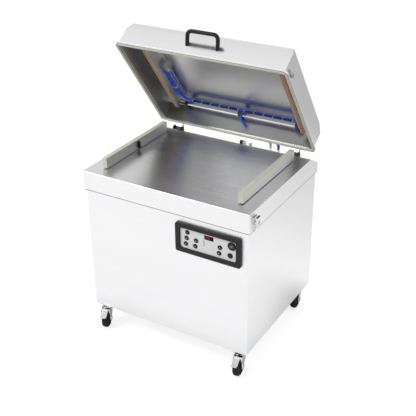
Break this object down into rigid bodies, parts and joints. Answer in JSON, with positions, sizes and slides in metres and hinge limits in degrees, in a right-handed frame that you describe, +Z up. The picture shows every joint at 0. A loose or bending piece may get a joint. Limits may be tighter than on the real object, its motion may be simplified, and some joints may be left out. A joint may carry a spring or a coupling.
{
  "type": "chamber vacuum packing machine",
  "caption": "Floor-standing chamber vacuum sealer: stainless cabinet on swivel castors, flat table with lifting seal bars, hinged deep lid and front control panel.",
  "frame": {"origin": "on the floor under the middle of the table", "axes": "+Z up, -Y to the front with the control panel, +X to the operator's right"},
  "size_m": [0.92, 0.8558, 1.5303],
  "materials": {
    "table": "brushed stainless steel, satin",
    "cabinet": "brushed stainless steel, satin, horizontal grain",
    "lid": "brushed stainless steel, satin",
    "steel": "bright zinc-plated steel",
    "seal_rubber": "pale green-beige silicone rubber, matt",
    "silicone": "tan silicone rubber, matt",
    "aluminium": "mill-finish aluminium",
    "black_plastic": "black moulded plastic, fine texture",
    "panel_face": "satin metal fascia",
    "display": "smoked gloss plastic",
    "button_grey": "grey moulded plastic",
    "button_red": "red moulded plastic",
    "hose_blue": "bright blue plastic hose, satin",
    "hose_grey": "pale grey plastic hose, satin",
    "tyre": "black rubber tyre",
    "pump": "grey painted cast iron",
    "motor": "blue-grey painted cast iron",
    "winding": "varnished laminations and winding",
    "board": "green circuit board"
  },
  "bodies": {
    "machine": {"table_top": "table", "cabinet_shell": "cabinet", "rear_panel": "cabinet", "base_tray": "cabinet", "vacuum_pump": "pump", "pump_motor": "motor", "transformer": "winding", "valve_block": "aluminium", "control_board": "board", "suction_pipe": "steel", "control_bezel": "black_plastic", "control_plate": "panel_face", "display_window": "display", "cable_gland": "black_plastic", "hinge_blocks": "black_plastic", "hinge_pins": "steel", "lift_cups": "aluminium", "lid_switch": "black_plastic", "castor_plates": "steel", "latch_base": "steel", "hose_sockets": "steel", "link_hose_grey": "hose_grey", "link_hose_blue": "hose_blue"},
    "lid": {"lid_shell": "lid", "lid_gasket": "seal_rubber", "lid_handle": "black_plastic", "counter_bars": "aluminium", "silicone_strips": "silicone", "gas_pipe": "steel", "gas_hose": "hose_blue", "branch_hose": "hose_blue", "pipe_saddles": "black_plastic", "hinge_arms": "aluminium", "lid_keeper": "steel"},
    "latch": {"latch_lever": "steel"},
    "seal_bar_left": {"seal_bar_left": "aluminium", "seal_cover_left": "seal_rubber", "bag_clip_left": "black_plastic"},
    "seal_bar_right": {"seal_bar_right": "aluminium", "seal_cover_right": "seal_rubber", "bag_clip_right": "black_plastic"},
    "button_left_1": {"button_left_1": "button_red"},
    "button_left_2": {"button_left_2": "button_grey"},
    "button_left_3": {"button_left_3": "button_grey"},
    "button_middle_1": {"button_middle_1": "button_grey"},
    "button_middle_2": {"button_middle_2": "button_grey"},
    "button_right_1": {"button_right_1": "button_grey"},
    "button_right_2": {"button_right_2": "button_grey"},
    "button_start": {"button_start": "black_plastic"},
    "button_stop": {"button_stop": "black_plastic"},
    "fork_front_left": {"castor_fork_front_left": "steel"},
    "wheel_front_left": {"castor_wheel_front_left": "tyre"},
    "pedal_front_left": {"brake_pedal_front_left": "steel"},
    "fork_front_right": {"castor_fork_front_right": "steel"},
    "wheel_front_right": {"castor_wheel_front_right": "tyre"},
    "pedal_front_right": {"brake_pedal_front_right": "steel"},
    "fork_rear_left": {"castor_fork_rear_left": "steel"},
    "wheel_rear_left": {"castor_wheel_rear_left": "tyre"},
    "fork_rear_right": {"castor_fork_rear_right": "steel"},
    "wheel_rear_right": {"castor_wheel_rear_right": "tyre"}
  },
  "joints": [
    {"name": "lid_hinge", "type": "hinge", "parent": "machine", "child": "lid", "pos_m": [0, 0.3195, 0.8504], "axis": [1, 0, 0], "range_deg": [0, 53.9], "stiffness_Nm_per_rad": 40, "springref_deg": -57.3, "deforming": ["link_hose_grey", "link_hose_blue"]},
    {"name": "seal_lift_left", "type": "slide", "parent": "machine", "child": "seal_bar_left", "axis": [0, 0, 1], "range_m": [0, 0.0095]},
    {"name": "seal_lift_right", "type": "slide", "parent": "machine", "child": "seal_bar_right", "axis": [0, 0, 1], "range_m": [0, 0.0095]},
    {"name": "press_left_1", "type": "slide", "parent": "machine", "child": "button_left_1", "axis": [0, 1, 0], "range_m": [0, 0.0015], "stiffness_N_per_m": 900},
    {"name": "press_left_2", "type": "slide", "parent": "machine", "child": "button_left_2", "axis": [0, 1, 0], "range_m": [0, 0.0015], "stiffness_N_per_m": 900},
    {"name": "press_left_3", "type": "slide", "parent": "machine", "child": "button_left_3", "axis": [0, 1, 0], "range_m": [0, 0.0015], "stiffness_N_per_m": 900},
    {"name": "press_middle_1", "type": "slide", "parent": "machine", "child": "button_middle_1", "axis": [0, 1, 0], "range_m": [0, 0.0015], "stiffness_N_per_m": 900},
    {"name": "press_middle_2", "type": "slide", "parent": "machine", "child": "button_middle_2", "axis": [0, 1, 0], "range_m": [0, 0.0015], "stiffness_N_per_m": 900},
    {"name": "press_right_1", "type": "slide", "parent": "machine", "child": "button_right_1", "axis": [0, 1, 0], "range_m": [0, 0.0015], "stiffness_N_per_m": 900},
    {"name": "press_right_2", "type": "slide", "parent": "machine", "child": "button_right_2", "axis": [0, 1, 0], "range_m": [0, 0.0015], "stiffness_N_per_m": 900},
    {"name": "press_start", "type": "slide", "parent": "machine", "child": "button_start", "axis": [0, 1, 0], "range_m": [0, 0.0015], "stiffness_N_per_m": 900},
    {"name": "press_stop", "type": "slide", "parent": "machine", "child": "button_stop", "axis": [0, 1, 0], "range_m": [0, 0.0015], "stiffness_N_per_m": 900},
    {"name": "latch_swing", "type": "hinge", "parent": "machine", "child": "latch", "pos_m": [0.457, -0.315, 0.804], "axis": [0, 1, 0], "range_deg": [0, 95]},
    {"name": "swivel_front_left", "type": "hinge", "parent": "machine", "child": "fork_front_left", "pos_m": [-0.395, -0.322, 0.11], "axis": [0, 0, 1], "continuous": true},
    {"name": "roll_front_left", "type": "hinge", "parent": "fork_front_left", "child": "wheel_front_left", "pos_m": [-0.38077, -0.35723, 0.05], "axis": [0.9272, 0.3746, 0], "continuous": true},
    {"name": "brake_front_left", "type": "hinge", "parent": "fork_front_left", "child": "pedal_front_left", "pos_m": [-0.37552, -0.37021, 0.1047], "axis": [0.9272, 0.3746, 0], "range_deg": [0, 12]},
    {"name": "swivel_front_right", "type": "hinge", "parent": "machine", "child": "fork_front_right", "pos_m": [0.395, -0.322, 0.11], "axis": [0, 0, 1], "continuous": true},
    {"name": "roll_front_right", "type": "hinge", "parent": "fork_front_right", "child": "wheel_front_right", "pos_m": [0.40094, -0.35953, 0.05], "axis": [0.9877, 0.1564, 0], "continuous": true},
    {"name": "brake_front_right", "type": "hinge", "parent": "fork_front_right", "child": "pedal_front_right", "pos_m": [0.40314, -0.37336, 0.1047], "axis": [0.9877, 0.1564, 0], "range_deg": [0, 12]},
    {"name": "swivel_rear_left", "type": "hinge", "parent": "machine", "child": "fork_rear_left", "pos_m": [-0.395, 0.321, 0.11], "axis": [0, 0, 1], "continuous": true},
    {"name": "roll_rear_left", "type": "hinge", "parent": "fork_rear_left", "child": "wheel_rear_left", "pos_m": [-0.3871, 0.28383, 0.05], "axis": [0.9781, 0.2079, 0], "continuous": true},
    {"name": "swivel_rear_right", "type": "hinge", "parent": "machine", "child": "fork_rear_right", "pos_m": [0.395, 0.321, 0.11], "axis": [0, 0, 1], "continuous": true},
    {"name": "roll_rear_right", "type": "hinge", "parent": "fork_rear_right", "child": "wheel_rear_right", "pos_m": [0.40029, 0.28337, 0.05], "axis": [0.9903, 0.1392, 0], "continuous": true}
  ],
  "couplings": [
    {"joint": "seal_lift_right", "follows": "seal_lift_left", "ratio": 1}
  ]
}
